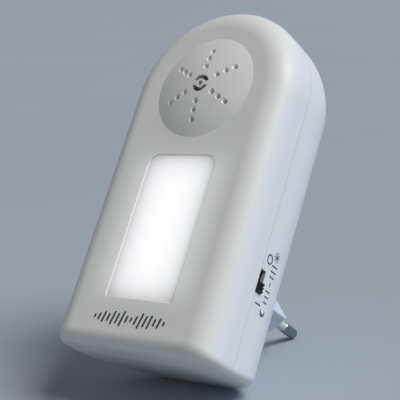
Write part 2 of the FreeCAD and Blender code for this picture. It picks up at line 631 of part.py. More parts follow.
def small_screw(name, x, seat, z, outward="Y"):
    """A small pan-head screw; its head stands on the seat and its shank goes the other way."""
    inward = "-Y" if outward == "Y" else "Y"
    head = rod(name + "_head", "small_head", outward, (x, seat, z), "small_head_depth")
    floor, clear = "small_head_depth / 2", "(small_head_depth + past)"
    span = (f"{seat} + {floor}", f"{seat} + {clear}") if outward == "Y" else (f"{seat} - {clear}",
                                                                             f"{seat} - {floor}")
    driver = block(name + "_driver", (f"{x} - small_head * 2 / 3", f"{x} + small_head * 2 / 3"), span,
                   (f"{z} - small_slot_half", f"{z} + small_slot_half"))
    shank = rod(name + "_shank", "small_screw", inward, (x, seat, z), "small_length")
    return fuse(name, [cut(name + "_slot", head, [driver]), shank])


def case_screws():
    """Four screws up the wells of the rear shell into the front shell's posts."""
    screws = []
    for name, x, z in case_post_places():
        seat = f"({SEAM} + post_floor)"
        head = rod(f"case_screw_head_{name}", "screw_head", "Y", (x, seat, z), "screw_head_depth")
        slots = [block(f"case_screw_slot_{name}_{turn}", (f"{x} - {wide}", f"{x} + {wide}"),
                       (f"{seat} + screw_head_depth / 2", f"{seat} + screw_head_depth + past"),
                       (f"{z} - {tall}", f"{z} + {tall}"))
                 for turn, (wide, tall) in enumerate((("screw_slot_reach", "screw_slot_half"),
                                                      ("screw_slot_half", "screw_slot_reach")))]
        shank = rod(f"case_screw_shank_{name}", "screw_radius", "-Y", (x, seat, z), "screw_length")
        screws.append(fuse(f"case_screw_{name}", [cut(f"case_screw_top_{name}", head, slots), shank]))
    return node(group("case_screws_group", screws), "case_screws")


def board_screws():
    screws = [small_screw(f"board_screw_{name}", x, BOARD_FRONT, z, "-Y")
              for name, x, z in board_post_places()]
    return node(group("board_screws_group", screws), "board_screws")


# Night-light switch

def notch_span():
    return f"({BASE} + notch_low)", f"({BASE} + notch_low + notch_height)"


FRAME_OUT = "(width / 2 - frame_drop)"
NOTCH_MID = "(-boss_depth - rear_depth + notch_depth / 2)"


def switch_frame():
    """The switch's dark front plate, with a slot that guides the slider's stem."""
    low, high = notch_span()
    plate = block("frame_plate", (f"{FRAME_OUT} - frame_thick", FRAME_OUT),
                  (f"{NOTCH_MID} - frame_reach", f"{NOTCH_MID} + frame_reach"),
                  (f"{low} - frame_border", f"{high} + frame_border"))
    spare = "(knob_gap + (knob_height - stem_height) / 2 - stem_play)"
    slot = block("frame_slot", (f"{FRAME_OUT} - frame_thick - past", f"{FRAME_OUT} + past"),
                 (f"{NOTCH_MID} - stem_thick / 2 - stem_play", f"{NOTCH_MID} + stem_thick / 2 + stem_play"),
                 (f"{low} + {spare}", f"{high} - {spare}"))
    return node(cut("frame_cut", plate, [slot]), "switch_frame")


def switch_base():
    """The switch's insulating base, hollow where the stem travels."""
    low, high = notch_span()
    out = f"({FRAME_OUT} - frame_thick)"
    solid = block("base_block", (f"{out} - base_length", out),
                  (f"{NOTCH_MID} - frame_reach + base_inset", f"{NOTCH_MID} + frame_reach - base_inset"),
                  (f"{low} - base_border", f"{high} + base_border"))
    half = "(stem_thick / 2 + base_room_play)"
    hollow = block("base_hollow", (f"{out} - base_room", f"{out} + past"),
                   (f"{NOTCH_MID} - {half}", f"{NOTCH_MID} + {half}"), (low, high))
    return node(cut("base_cut", solid, [hollow]), "switch_base")


def switch_slider():
    """The knob with three ridges across its travel, on a stem through the frame."""
    low = f"({BASE} + notch_low + knob_gap)"
    foot = f"({FRAME_OUT} + knob_lift)"
    tip = "(width / 2 + knob_proud)"
    side = "(notch_depth / 2 - knob_inset)"
    span = (f"{NOTCH_MID} - {side}", f"{NOTCH_MID} + {side}")
    knob = block("knob_block", (foot, f"{tip} - tooth_depth"), span, (low, f"{low} + knob_height"))
    ridges = []
    for index in range(3):
        ridge = doc.addObject("Part::Wedge", f"knob_ridge_{index}")
        spans = {"Xmin": 0, "Xmax": "knob_height / 3", "X2min": "tooth_slope",
                 "X2max": "knob_height / 3 - tooth_slope", "Ymin": 0, "Ymax": "tooth_depth",
                 "Zmin": 0, "Zmax": f"2 * {side}", "Z2min": 0, "Z2max": f"2 * {side}"}
        for name, expression in spans.items():
            bind(ridge, name, expression)
        upright = Rotation(Vector(0, 0, 1), Vector(1, 0, 0), Vector(0, 1, 0), "XYZ")
        ridge.Placement = Placement(Vector(), upright)
        ridges.append(place(ridge, f"{tip} - tooth_depth", span[0], f"{low} + knob_height * {index} / 3"))
    stem = block("knob_stem", (f"{FRAME_OUT} - frame_thick - stem_reach", foot),
                 (f"{NOTCH_MID} - stem_thick / 2", f"{NOTCH_MID} + stem_thick / 2"),
                 (f"{low} + (knob_height - stem_height) / 2", f"{low} + (knob_height + stem_height) / 2"))
    return node(fuse("slider_fuse", [knob, stem] + ridges), "switch_slider")


def switch_terminals():
    low, high = notch_span()
    inside = f"({FRAME_OUT} - frame_thick - base_length)"
    pins = []
    for index in range(3):
        z = f"({low} + notch_height * {index + 0.5} / 3)"
        pins.append(block(f"switch_pin_{index}", (f"{inside} - switch_pin_length", inside),
                          (f"{NOTCH_MID} - switch_pin_half", f"{NOTCH_MID} + switch_pin_half"),
                          (f"{z} - switch_pin_thin", f"{z} + switch_pin_thin")))
    return node(group("switch_terminals_group", pins), "switch_terminals")


# Main board and what it carries

def main_board():
    low = f"({BASE} + board_low)"
    high = f"({BASE} + board_high)"
    sheet_block = block("board_sheet", ("-board_half", "board_half"), (BOARD_FRONT, BOARD_BACK), (low, high))
    through = (f"{BOARD_FRONT} - past", f"{BOARD_BACK} + past")
    holes = [rod(f"board_hole_{name}", "small_screw + fit_gap", "Y", (x, through[0], z),
                 "board_thick + 2 * past") for name, x, z in board_post_places()]
    tab_room = "(tab_half + fit_gap)"
    slots = [block(f"board_slot_{side}",
                   (f"{sign} * pin_spacing / 2 - {tab_room}", f"{sign} * pin_spacing / 2 + {tab_room}"),
                   through, ("tab_low - fit_gap", "tab_high + fit_gap"))
             for side, sign in (("left", -1), ("right", 1))]
    return node(cut("board_cut", sheet_block, holes + slots), "main_board")


def on_board(name, x, z, wide, tall, deep):
    """A block-shaped component centred at a place on the board's front, measured from the base."""
    return block(name, (x - wide / 2, x + wide / 2), (f"{BOARD_FRONT} - {deep}", BOARD_FRONT),
                 (f"{BASE} + {z - tall / 2}", f"{BASE} + {z + tall / 2}"))


def can_on_board(name, x, z, radius, length):
    """An upright electrolytic capacitor with the scored top of its can."""
    can = rod(name + "_can", radius, "-Y", (x, BOARD_FRONT, f"{BASE} + {z}"), length)
    scores = [block(f"{name}_score_{turn}", (x - wide, x + wide),
                    (f"{BOARD_FRONT} - {length} - 1", f"{BOARD_FRONT} - {length} + 0.2"),
                    (f"{BASE} + {z} - {tall}", f"{BASE} + {z} + {tall}"))
              for turn, (wide, tall) in enumerate(((radius * 0.7, 0.15), (0.15, radius * 0.7)))]
    return node(cut(name + "_cut", can, scores), name)


def lying_part(name, x, z, radius, length):
    """An axial component that lies across the board between its two bent legs."""
    y = f"({BOARD_FRONT} - {radius} - 0.3)"
    height = f"({BASE} + {z})"
    body = rod(name + "_body", radius, "X", (x - length / 2, y, height), length)
    lead = rod(name + "_lead", "0.3", "X", (x - length / 2 - 2, y, height), length + 4)
    legs = [rod(f"{name}_leg_{side}", "0.3", "Y", (x + sign * (length / 2 + 2), y, height), radius + 0.3)
            for side, sign in (("left", -1), ("right", 1))]
    return fuse(name, [body, lead] + legs)


def board_parts():
    """What stands on the board; places are measured from its centre line and from the base."""
    node(on_board("dropper_block", x=-10.8, z=62, wide=8.5, tall=14, deep=9), "dropper_capacitor")
    can_on_board("smoothing_capacitor", x=8, z=62, radius=5, length=8.6)
    can_on_board("supply_capacitor", x=-1.5, z=54, radius=3, length=8)
    node(on_board("chip_block", x=-2, z=43, wide=6.4, tall=9.6, deep=3.4), "oscillator_chip")
    transformer(x=11, z=46)
    node(lying_part("fuse_resistor_axial", x=0, z=20.5, radius=1.8, length=10), "fuse_resistor")
    diodes = [lying_part(f"diode_{index}", x=-12, z=25 + 3.4 * index, radius=1.1, length=4)
              for index in range(4)]
    node(group("rectifier_group", diodes), "rectifier_diodes")
    resistors = [lying_part(f"resistor_{index}", x=11, z=24 + 3.6 * index, radius=0.95, length=6)
                 for index in range(3)]
    node(group("resistors_group", resistors), "resistors")
    transistors = [on_board(f"transistor_{index}", x=-16 + 7 * index, z=44, wide=4.6, tall=3.6, deep=6)
                   for index in range(2)]
    node(group("transistors_group", transistors), "driver_transistors")


def transformer(x, z):
    """A three-legged ferrite core with a winding in each of its two windows."""
    yoke = on_board("core_block", x, z, wide=13, tall=11, deep=4)
    legs = [on_board(f"core_leg_{side}", x + shift, z, wide=wide, tall=11, deep=8.5)
            for side, shift, wide in (("left", -5.4, 2.2), ("middle", 0, 3.4), ("right", 5.4, 2.2))]
    node(fuse("transformer_core_fuse", [yoke] + legs), "transformer_core")
    coils = []
    for side, shift in (("left", -3), ("right", 3)):
        coil = on_board(f"coil_{side}", x + shift, z, wide=2.5, tall=9.5, deep=8)
        under = on_board(f"coil_floor_{side}", x, z, wide=14, tall=12, deep=4)
        coils.append(cut(f"coil_cut_{side}", coil, [under]))
    node(group("transformer_coil_group", coils), "transformer_coil")


# Wires

def wire_path(points):
    """Straight runs joined by tangent arcs, each as large as its two runs allow."""
    corners = [Vector(*point) for point in points]
    edges = []
    start = corners[0]
    for before, corner, after in zip(corners, corners[1:], corners[2:]):
        inward = (before - corner).normalize()
        outward = (after - corner).normalize()
        turn = math.pi - inward.getAngle(outward)
        trim = 0.45 * min(before.distanceToPoint(corner), after.distanceToPoint(corner))
        bend = trim / math.tan(turn / 2)
        first = corner + inward * trim
        last = corner + outward * trim
        bisector = (inward + outward).normalize()
        middle = corner + bisector * (bend / math.cos(turn / 2) - bend)
        edges.append(Part.LineSegment(start, first).toShape())
        edges.append(Part.Arc(first, middle, last).toShape())
        start = last
    edges.append(Part.LineSegment(start, corners[-1]).toShape())
    return Part.Wire(edges)


def wires(label, routes, radius=0.6):
    """One insulated wire along each route, given as a list of points."""
    shapes = []
    for points in routes:
        path = wire_path(points)
        heading = (Vector(*points[1]) - Vector(*points[0])).normalize()
        profile = Part.Wire([Part.Circle(Vector(*points[0]), heading, radius).toShape()])
        shapes.append(path.makePipeShell([profile], True, False))
    item = doc.addObject("Part::Feature", label + "_runs")
    item.Shape = Part.makeCompound(shapes)
    item.Placement = Placement()
    return node(item, label)


def all_wires():
    """Each pair runs from its terminals to the board, clear of the pieces between them."""
    arch_z = number(ARCH)
    base_z = number(BASE)
    board_y = number(BOARD_FRONT)
    into_board = board_y - size("fit_gap")
    can_back = number(f"{CAN_FRONT} + can_depth")
    board_top = base_z + size("board_high")
    side = size("terminal_side")
    wires("transducer_wires", [
        [(x, can_back + 3.2, arch_z - 0.6), (x, can_back + 5.5, arch_z - 8),
         (x, board_y - 5.5, board_top - 2), (x, into_board, board_top - 3)] for x in (-side, side)])
    lamp_back = number(f"{LAMP_BOARD} + board_thick")
    wires("lamp_wires", [
        [(x, lamp_back + 0.1, base_z + 18), (x, lamp_back + 3, base_z + 17.4),
         (x, board_y - 2.6, base_z + 17.4), (x, into_board, base_z + 17)] for x in (-3, 3)], radius=0.45)
    switch_x = number(f"{FRAME_OUT} - frame_thick - base_length - switch_pin_length")
    switch_y = number(NOTCH_MID)
    routes = []
    for index in (0, 2):
        z = base_z + size("notch_low") + size("notch_height") / 3 * (index + 0.5)
        routes.append([(switch_x - 0.1, switch_y, z), (switch_x - 2.6, switch_y + 0.5, z + 0.4),
                       (switch_x - 4.2, board_y - 1.8, z + 1.4), (switch_x - 4.2, into_board, z + 1.6)])
    wires("switch_wires", routes, radius=0.45)


def build():
    fill_sheet()
    front_shell()
    rear_shell()
    plug_block()
    for side, sign in (("left", -1), ("right", 1)):
        plug_pin(side, sign)
        pin_sleeve(side, sign)
        pin_tab(side, sign)
    light_diffuser()
    light_box()
    lamp_board()
    night_lamps()
    transducer()
    case_screws()
    board_screws()
    switch_frame()
    switch_base()
    switch_slider()
    switch_terminals()
    main_board()
    board_parts()
    all_wires()
    doc.recompute()


def check():
    """Stop before anything is written if any object failed."""
    for item in doc.Objects:
        if "Invalid" in item.State or "Error" in item.State:
            raise RuntimeError(f"{item.Label} failed: {item.State}")
    for item in nodes:
        if item.Shape.isNull() or not item.Shape.isValid():
            raise RuntimeError(f"{item.Label} has no valid shape")


def write():
    os.makedirs("parts", exist_ok=True)
    for item in nodes:
        item.Shape.exportStep(f"parts/{item.Label}.step")
        box = item.Shape.BoundBox
        spans = [f"{low:.1f}..{high:.1f}" for low, high in
                 ((box.XMin, box.XMax), (box.YMin, box.YMax), (box.ZMin, box.ZMax))]
        print(f"{item.Label:22} solids {len(item.Shape.Solids):2} volume {item.Shape.Volume:9.1f}", *spans)


build()
check()
write()
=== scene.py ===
import json
import math
import bpy
from mathutils import Matrix, Vector
from mathutils.bvhtree import BVHTree


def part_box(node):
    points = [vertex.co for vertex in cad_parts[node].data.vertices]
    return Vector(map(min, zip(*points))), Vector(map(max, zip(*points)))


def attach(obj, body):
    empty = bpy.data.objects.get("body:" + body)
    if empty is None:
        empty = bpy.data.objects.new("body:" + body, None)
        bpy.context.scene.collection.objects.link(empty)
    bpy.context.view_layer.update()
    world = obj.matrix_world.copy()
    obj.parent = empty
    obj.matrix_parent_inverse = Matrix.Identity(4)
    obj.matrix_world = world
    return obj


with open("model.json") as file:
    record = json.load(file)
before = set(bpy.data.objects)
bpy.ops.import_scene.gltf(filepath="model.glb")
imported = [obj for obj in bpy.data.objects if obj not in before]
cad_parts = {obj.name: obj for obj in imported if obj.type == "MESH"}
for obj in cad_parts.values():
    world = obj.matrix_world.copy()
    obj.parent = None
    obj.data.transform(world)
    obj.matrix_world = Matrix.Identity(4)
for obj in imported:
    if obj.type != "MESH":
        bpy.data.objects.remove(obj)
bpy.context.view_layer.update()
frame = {"nodes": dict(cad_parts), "record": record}

scene = bpy.context.scene
nodes = frame["nodes"]
MM = 0.001

# Where things are: the boxes come from the frame, the small gaps and radii from the design

REAR_LOW, REAR_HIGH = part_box("rear_shell")
DIFFUSER_LOW, DIFFUSER_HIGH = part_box("light_diffuser")
SLIDER_LOW, SLIDER_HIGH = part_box("switch_slider")
CONE_LOW, CONE_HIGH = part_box("transducer_cone")
PIN_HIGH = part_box("plug_pin_right")[1]
PIN_RADIUS = 2.0 * MM

SEAM_GAP = 0.12 * MM
SEAM = REAR_LOW[1] - SEAM_GAP
SIDE = REAR_HIGH[0]

WINDOW_LIP = 2.4 * MM     # how far the diffuser's rim reaches behind the front, past the window
WINDOW_SINK = 0.5 * MM    # how far the diffuser's face lies behind the front
FRONT = DIFFUSER_LOW[1] - WINDOW_SINK
WINDOW_HALF = DIFFUSER_HIGH[0] - WINDOW_LIP
WINDOW_LOW = DIFFUSER_LOW[2] + WINDOW_LIP
WINDOW_HIGH = DIFFUSER_HIGH[2] - WINDOW_LIP
WINDOW_MIDDLE = (WINDOW_LOW + WINDOW_HIGH) / 2
WINDOW_TALL = (WINDOW_HIGH - WINDOW_LOW) / 2

DOME_RIM = 19.55 * MM
DOME_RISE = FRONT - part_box("front_shell")[0][1]
DOME_BALL = (DOME_RIM ** 2 + DOME_RISE ** 2) / (2 * DOME_RISE)    # the dome is a cap of a ball
DOME_CENTRE = Vector((0.0, FRONT - DOME_RISE + DOME_BALL, (CONE_LOW[2] + CONE_HIGH[2]) / 2))
FLARE_START, FLARE_END = 0.2 * MM, 0.45 * MM    # where a hole's flared edge turns into its wall
HOLE_DEPTH = 1.6 * MM
GRILLE_REACH = 16 * MM
HUB_REACH = 3.5 * MM

# Camera: the unit leans back on its foot and its pins, seen from its right front and a little below

CAMERA_PLACE = Vector((237.09, -335.28, -100.33)) * MM
CAMERA_TURN = tuple(math.radians(angle) for angle in (109.402, -16.271, 33.769))
LENS = 101.35


def add_camera():
    data = bpy.data.cameras.new("camera")
    data.lens = LENS
    data.sensor_width = 36
    data.clip_start = 0.01
    data.clip_end = 20
    camera = bpy.data.objects.new("camera", data)
    camera.location = CAMERA_PLACE
    camera.rotation_euler = CAMERA_TURN
    scene.collection.objects.link(camera)
    scene.camera = camera


# Node trees

class Graph:
    """A material and short ways to add nodes to it."""

    def __init__(self, name, **values):
        self.material = bpy.data.materials.new(name)
        self.material.use_nodes = True
        self.tree = self.material.node_tree
        self.shader = self.tree.nodes["Principled BSDF"]
        for socket, value in values.items():
            self.shader.inputs[socket].default_value = value
        self.place = self.add("ShaderNodeTexCoord").outputs["Object"]

    def add(self, kind, inputs=(), **settings):
        item = self.tree.nodes.new(kind)
        for name, value in settings.items():
            setattr(item, name, value)
        for socket, value in dict(inputs).items():
            self.put(item.inputs[socket], value)
        return item

    def put(self, socket, value):
        if isinstance(value, bpy.types.NodeSocket):
            self.tree.links.new(value, socket)
        else:
            socket.default_value = value

    def set(self, socket, value):
        self.put(self.shader.inputs[socket], value)

    def axes(self):
        return self.add("ShaderNodeSeparateXYZ", {0: self.place}).outputs

    def math(self, operation, *values, clamp=False):
        item = self.add("ShaderNodeMath", enumerate(values), operation=operation, use_clamp=clamp)
        return item.outputs[0]

    def distance(self, first, second):
        item = self.add("ShaderNodeVectorMath", {0: first, 1: second}, operation="DISTANCE")
        return item.outputs["Value"]

    def noise(self, scale, detail=2.0, roughness=0.5, place=None):
        inputs = {"Vector": place or self.place, "Scale": scale, "Detail": detail, "Roughness": roughness}
        return self.add("ShaderNodeTexNoise", inputs).outputs["Fac"]

    def spread(self, value, low, high, to_low=0.0, to_high=1.0, smooth=False):
        """The value's place between low and high, moved to between to_low and to_high."""
        inputs = {"Value": value, "From Min": low, "From Max": high, "To Min": to_low, "To Max": to_high}
        kind = "SMOOTHSTEP" if smooth else "LINEAR"
        return self.add("ShaderNodeMapRange", inputs, interpolation_type=kind).outputs["Result"]

    def within(self, value, low, high):
        """One where the value lies between low and high, and nothing elsewhere."""
        above, below = self.math("GREATER_THAN", value, low), self.math("LESS_THAN", value, high)
        return self.math("MULTIPLY", above, below)

    def blend(self, factor, first, second):
        item = self.add("ShaderNodeMix", data_type="RGBA")
        self.put(item.inputs[0], factor)
        self.put(item.inputs[6], first)
        self.put(item.inputs[7], second)
        return item.outputs[2]

    def recolour(self, factor, colour):
        """Blend another colour over the base colour."""
        plain = self.shader.inputs["Base Color"].links[0].from_socket
        self.set("Base Color", self.blend(factor, plain, colour))

    def bump(self, height, strength, distance):
        item = self.add("ShaderNodeBump", {"Height": height, "Strength": strength, "Distance": distance})
        self.set("Normal", item.outputs["Normal"])


def rgb(red, green, blue):
    return (red, green, blue, 1.0)


def tinted(colour, factor):
    return rgb(*(min(channel * factor, 1.0) for channel in colour))


# Materials

HOUSING = (0.83, 0.83, 0.815)
HOUSING_GLOSS = 0.42
# Painted shade along the seam: the housing is darkened in a thin band either side of the gap between the
# shells.
SEAM_SHADE_HALF = 0.16 * MM
SEAM_SHADE_AMOUNT = 0.5
LAMP_LIGHT = rgb(0.95, 0.99, 1.0)
SPILL_REACH = 11 * MM
SPILL_LEVEL = 0.16


def moulded(name, colour, rough, grain=3200.0, mottle=0.02):
    """Moulded plastic: a fine spark-eroded grain, uneven gloss and a slight unevenness of colour."""
    graph = Graph(name)
    patches = graph.noise(90.0, 3.0)
    dull = graph.noise(260.0, 4.0, 0.6)
    graph.set("Base Color", graph.blend(patches, tinted(colour, 1 - mottle), tinted(colour, 1 + mottle)))
    graph.set("Roughness", graph.spread(dull, 0.3, 0.7, rough - 0.05, rough + 0.06))
    graph.bump(graph.noise(grain, 3.0, 0.6), 0.35, 0.02 * MM)
    return graph


def front_plastic():
    """The housing's plastic, with painted shade in the grille's holes and along the seam, painted light on
    the holes' walls, and the lamps' light coming through it.
    """
    graph = moulded("housing_front", HOUSING, HOUSING_GLOSS)
    x, y, z = graph.axes()
    on_axis = graph.add("ShaderNodeCombineXYZ", {"X": x, "Y": DOME_CENTRE.y, "Z": z}).outputs[0]
    from_axis = graph.distance(on_axis, DOME_CENTRE)
    from_ball = graph.distance(graph.place, DOME_CENTRE)
    # Painted shade: the walls of the grille's holes are darkened below their flared edges, and the hub's
    # slot walls are tinted a darker beige.
    holes = graph.spread(from_ball, DOME_BALL - FLARE_END, DOME_BALL - FLARE_START, 1.0, 0.0)
    holes = graph.math("MULTIPLY", holes, graph.math("LESS_THAN", from_axis, GRILLE_REACH))
    hub = graph.math("LESS_THAN", from_axis, HUB_REACH)
    # painted shade along the seam between the shells
    seam_shade = graph.math("MULTIPLY", graph.math("COMPARE", y, SEAM, SEAM_SHADE_HALF), SEAM_SHADE_AMOUNT)
    # painted shade colour for the holes' walls, and a darker beige for the hub's slots
    shade = graph.blend(hub, rgb(0.50, 0.48, 0.47), rgb(0.76, 0.68, 0.55))
    graph.recolour(graph.math("MAXIMUM", holes, seam_shade), shade)
    glow = graph.math("ADD", window_spill(graph, x, y, z), painted_hole_light(graph, z, holes, hub, from_ball))
    graph.set("Emission Color", LAMP_LIGHT)
    graph.set("Emission Strength", glow)
    return graph.material


def window_spill(graph, x, y, z):
    """The glow on the front beside the window, and on the front shell's right side."""
    fade_start, fade_end = WINDOW_TALL - 9 * MM, WINDOW_TALL + 6 * MM
    beside = graph.math("MAXIMUM", graph.math("SUBTRACT", graph.math("ABSOLUTE", x), WINDOW_HALF), 0.0)
    above = graph.math("ABSOLUTE", graph.math("SUBTRACT", z, WINDOW_MIDDLE))
    near = graph.spread(beside, 0.0, SPILL_REACH, SPILL_LEVEL, 0.0, smooth=True)
    along = graph.spread(above, fade_start, fade_end, 1.0, 0.0, smooth=True)
    facing = graph.spread(y, FRONT + 0.05 * MM, FRONT + 0.3 * MM, 1.0, 0.0)
    facing = graph.math("MAXIMUM", facing, graph.math("GREATER_THAN", x, 0.0))
    return graph.math("MULTIPLY", graph.math("MULTIPLY", near, along), facing)


def painted_hole_light(graph, z, holes, hub, from_ball):
    """Painted light on the walls of the grille's holes, stronger towards the top where the key light falls.
    """
    walls = graph.math("GREATER_THAN", from_ball, DOME_BALL - HOLE_DEPTH)
    walls = graph.math("MULTIPLY", graph.math("SUBTRACT", holes, hub, clamp=True), walls)
    # painted light: the walls glow more towards the top
    reach, lowest, highest = 14 * MM, 0.07, 0.15
    level = graph.spread(z, DOME_CENTRE.z - reach, DOME_CENTRE.z + reach, lowest, highest)
    return graph.math("MULTIPLY", walls, level)


def rear_plastic():
    """The housing's plastic, with painted warm shade on the cut walls of the switch's opening."""
    graph = moulded("housing_rear", HOUSING, HOUSING_GLOSS)
    x, y, z = graph.axes()
    inside = graph.within(x, 0.0, SIDE - 0.2 * MM)
    inside = graph.math("MULTIPLY", inside, graph.within(y, SEAM - MM, SEAM + 3.4 * MM))
    inside = graph.math("MULTIPLY", inside, graph.within(z, SLIDER_LOW[2] - MM, SLIDER_HIGH[2] + 5.2 * MM))
    # Painted warm shade: the cut walls inside the switch's opening are darkened to a beige grey.
    graph.recolour(inside, rgb(0.42, 0.38, 0.33))
    return graph.material


def opal_plastic():
    """The diffuser, brightest down its middle and falling off towards its edges."""
    rim_reach, rim_loss, reflected = 3.6 * MM, 0.42, 0.235
    graph = moulded("opal_lit", (0.5, 0.5, 0.5), 0.5, grain=2400.0, mottle=0.01)
    x, _, z = graph.axes()
    levels = []
    for offset, half in ((x, WINDOW_HALF), (graph.math("SUBTRACT", z, WINDOW_MIDDLE), WINDOW_TALL)):
        inset = graph.math("SUBTRACT", half, graph.math("ABSOLUTE", offset))
        fall = graph.math("EXPONENT", graph.math("DIVIDE", inset, -rim_reach))
        levels.append(graph.math("SUBTRACT", 1.0, graph.math("MULTIPLY", fall, rim_loss)))
    glow = graph.math("MULTIPLY", *levels)
    edge, core = rgb(0.94, 0.955, 1.0), rgb(0.99, 0.992, 1.0)
    graph.set("Emission Color", graph.blend(graph.spread(glow, 0.6, 1.0), edge, core))
    graph.set("Emission Strength", graph.math("SUBTRACT", glow, reflected))
    return graph.material


def plated(name, colour, rough, scratch=0.05):
    """Plated or polished metal, with faint lines along it and patches that are duller."""
    graph = Graph(name, Metallic=1.0)
    stretched = graph.add("ShaderNodeMapping", {"Vector": graph.place, "Scale": (1.0, 0.06, 1.0)}).outputs[0]
    lines = graph.noise(5000.0, 3.0, 0.6, stretched)
    dull = graph.noise(600.0, 3.0)
    graph.set("Base Color", graph.blend(dull, tinted(colour, 0.82), tinted(colour, 1.0)))
    graph.set("Roughness", graph.spread(dull, 0.3, 0.7, rough - 0.05, rough + 0.08))
    graph.bump(lines, scratch, 0.01 * MM)
    return graph.material


def laminate(name, colour):
    """Circuit board, coarser and patchier than moulded plastic."""
    return moulded(name, colour, 0.45, grain=1500.0, mottle=0.08).material


def ink(name, colour):
    """Printed ink, which covers a little unevenly."""
    graph = Graph(name)
    cover = graph.noise(1800.0, 3.0, 0.6)
    graph.set("Base Color", graph.blend(cover, tinted(colour, 0.8), tinted(colour, 1.25)))
    graph.set("Roughness", graph.spread(cover, 0.3, 0.7, 0.4, 0.55))
    return graph.material


def floor_surface():
    """Plain pale paper, seen only from above so that it hides nothing from behind or below."""
    graph = Graph("floor_paper", Roughness=0.8)
    darker, lighter = rgb(0.375, 0.435, 0.49), rgb(0.40, 0.46, 0.515)
    graph.set("Base Color", graph.blend(graph.noise(6.0, 4.0), darker, lighter))
    graph.bump(graph.noise(500.0, 4.0, 0.6), 0.15, 0.2 * MM)
    clear = graph.add("ShaderNodeBsdfTransparent").outputs[0]
    behind = graph.add("ShaderNodeNewGeometry").outputs["Backfacing"]
    either = graph.add("ShaderNodeMixShader", {0: behind, 1: graph.shader.outputs[0], 2: clear})
    graph.put(graph.tree.nodes["Material Output"].inputs["Surface"], either.outputs[0])
    return graph.material


def finish_nodes():
    """Each CAD node's material, by its name or else by its slot in the record."""
    by_slot = {
        "white_plastic": moulded("white_plastic", (0.82, 0.82, 0.8), 0.5).material,
        "sleeve_plastic": moulded("sleeve_plastic", (0.62, 0.64, 0.66), 0.42).material,
        "dark_plastic": moulded("dark_plastic", (0.006, 0.009, 0.02), 0.5, mottle=0.2).material,
        # Painted reflection: the nickel is darker and bluer than plain nickel, standing in for a dark, cool
        # reflection.
        "plated_metal": plated("nickel", (0.29, 0.335, 0.375), 0.2, 0.02),
        "brass_metal": plated("brass", (0.78, 0.58, 0.28), 0.28),
        "steel": plated("zinc_steel", (0.58, 0.58, 0.59), 0.35, 0.1),
        "board_laminate": laminate("paper_laminate", (0.45, 0.33, 0.16)),
        "green_laminate": laminate("white_laminate", (0.7, 0.74, 0.7)),
        "ceramic": moulded("ceramic", (0.72, 0.7, 0.62), 0.6, grain=1800.0).material,
        "foil": plated("foil", (0.75, 0.75, 0.76), 0.3, 0.2),
        "film_case": moulded("film_case", (0.6, 0.42, 0.06), 0.3).material,
        "can_sleeve": moulded("can_sleeve", (0.03, 0.035, 0.06), 0.3, mottle=0.15).material,
        "ferrite": moulded("ferrite", (0.05, 0.05, 0.05), 0.7, mottle=0.2).material,
        "copper": plated("copper", (0.75, 0.36, 0.16), 0.3, 0.3),
        "component_body": moulded("component_body", (0.42, 0.33, 0.22), 0.4).material,
        "wire_insulation": moulded("wire_insulation", (0.45, 0.05, 0.03), 0.35).material,
        "lamp_resin": moulded("lamp_resin", (0.85, 0.85, 0.8), 0.2).material,
        "opal_plastic": opal_plastic(),
    }
    by_name = {
        "front_shell": front_plastic(),
        "rear_shell": rear_plastic(),
        # Painted shade and reflection: the plug's plastic is darker and bluer than the housing, standing in
        # for the body's shade and a cool reflection.
        "plug_block": moulded("housing_plug", (0.66, 0.71, 0.77), HOUSING_GLOSS).material,
    }
    slots = {part["node"]: part["material_slot"] for part in frame["record"]["subparts"]}
    for name, item in nodes.items():
        item.data.materials.clear()
        item.data.materials.append(by_name.get(name) or by_slot[slots[name]])


def soften(name, width, angle=40):
    """A small round on a CAD node's sharp edges."""
    bevel = nodes[name].modifiers.new("edges", "BEVEL")
    bevel.width = width
    bevel.segments = 2
    bevel.limit_method = "ANGLE"
    bevel.angle_limit = math.radians(angle)


# Printed marks: flat shapes drawn in a surface's own plane, then laid on it

INK_THICK = 0.04 * MM
INK_LIFT = 0.03 * MM
CAP_STEPS = 6
CLEAR = 20 * MM    # how far outside the housing the shapes start from when they are laid on it


def turned(arm, angle):
    return Matrix.Rotation(math.radians(angle), 2) @ arm


def stroke(path, width, closed=False):
    """A strip along a path, mitred where it turns, with round ends."""
    count = len(path)
    left, right = [], []
    for index, point in enumerate(path):
        before = path[index - 1] if closed or index else None
        after = path[(index + 1) % count] if closed or index < count - 1 else None
        arriving = (after - point if before is None else point - before).normalized()
        leaving = (point - before if after is None else after - point).normalized()
        middle = (arriving + leaving).normalized()
        side = Vector((-middle.y, middle.x))
        reach = width / 2 / max(side.dot(Vector((-leaving.y, leaving.x))), 0.5)
        left.append(point + side * reach)
        right.append(point - side * reach)
    points = left + right
    steps = range(count if closed else count - 1)
    faces = [(i, (i + 1) % count, count + (i + 1) % count, count + i) for i in steps]
    ends = () if closed else ((0, 0, count), (count - 1, 2 * count - 1, count - 1))
    for end, first, last in ends:
        arm = points[first] - path[end]
        cap = [path[end] + turned(arm, 180 * step / CAP_STEPS) for step in range(1, CAP_STEPS)]
        faces.append((first, *range(len(points), len(points) + len(cap)), last))
        points += cap
    return points, faces


def finely(start, end, step=0.4 * MM):
    """The straight line between two points as many close points, so that it can bend over a surface."""
    pieces = max(1, round((end - start).length / step))
    return [start.lerp(end, i / pieces) for i in range(pieces)] + [end]


def arc(middle, radius, start=0.0, end=360.0, count=40):
    angles = [math.radians(start + (end - start) * i / count) for i in range(count + 1)]
    return [middle + Vector((math.cos(a) * radius, math.sin(a) * radius)) for a in angles]


